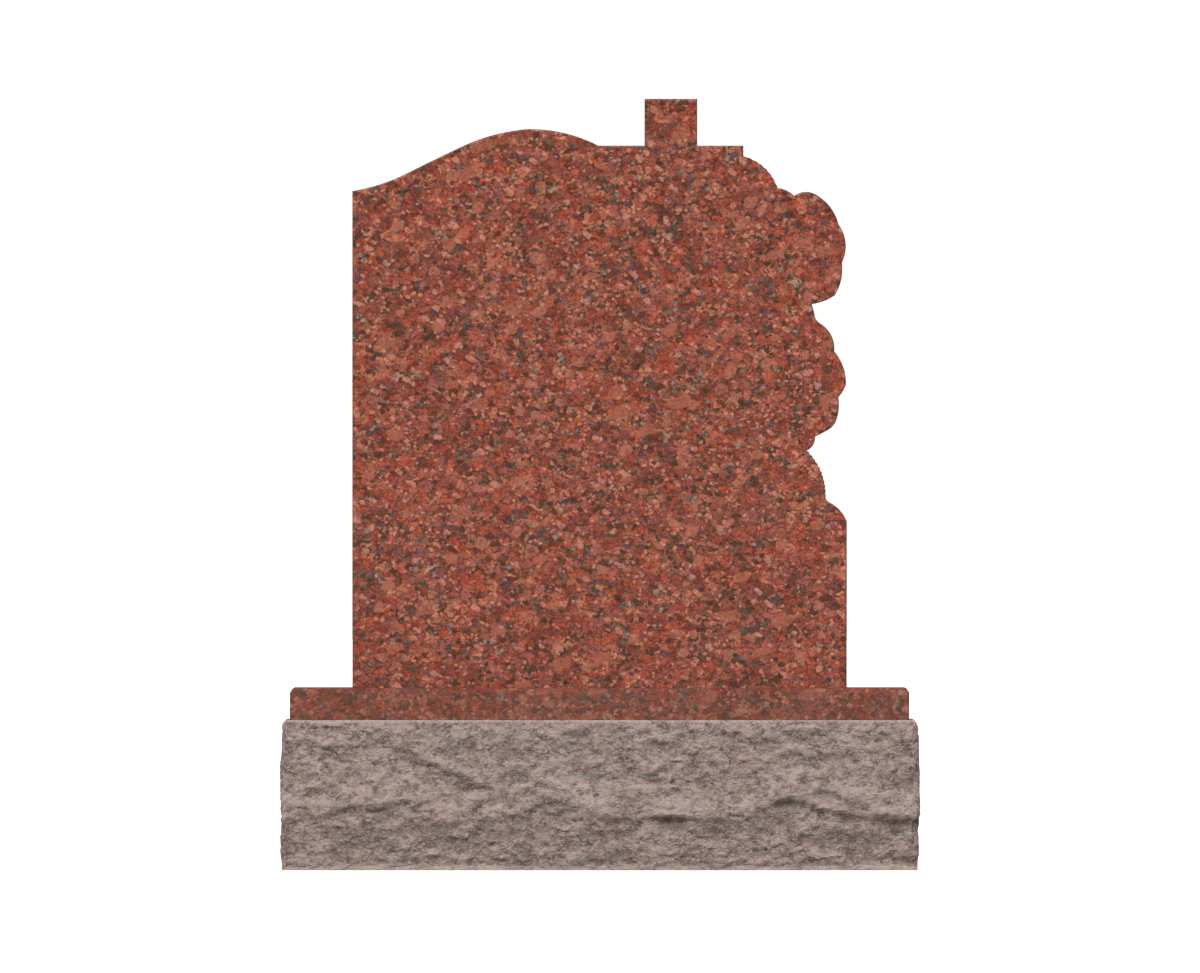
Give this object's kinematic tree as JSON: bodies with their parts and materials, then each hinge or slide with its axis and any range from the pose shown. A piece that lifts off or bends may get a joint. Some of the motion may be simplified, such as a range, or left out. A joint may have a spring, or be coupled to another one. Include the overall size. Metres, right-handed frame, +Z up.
{
  "type": "granite headstone",
  "caption": "Upright granite headstone whose outline shows a serpentine top, the upper part of a cross and rose and leaf shapes, on a honed plinth slab and a rock-faced base.",
  "frame": {"origin": "middle of the base block's flat underside, where it stands on its foundation", "axes": "+Z up, -Y out of the front face, +X to the right as seen from the front"},
  "size_m": [0.922, 0.3208, 1.1069],
  "materials": {
    "polished_granite": "polished",
    "plinth_granite": "satin",
    "split_granite": "matte"
  },
  "bodies": {
    "root": {"tablet": "polished_granite", "plinth_slab": "plinth_granite", "rock_faced_base": "split_granite"}
  },
  "joints": []
}
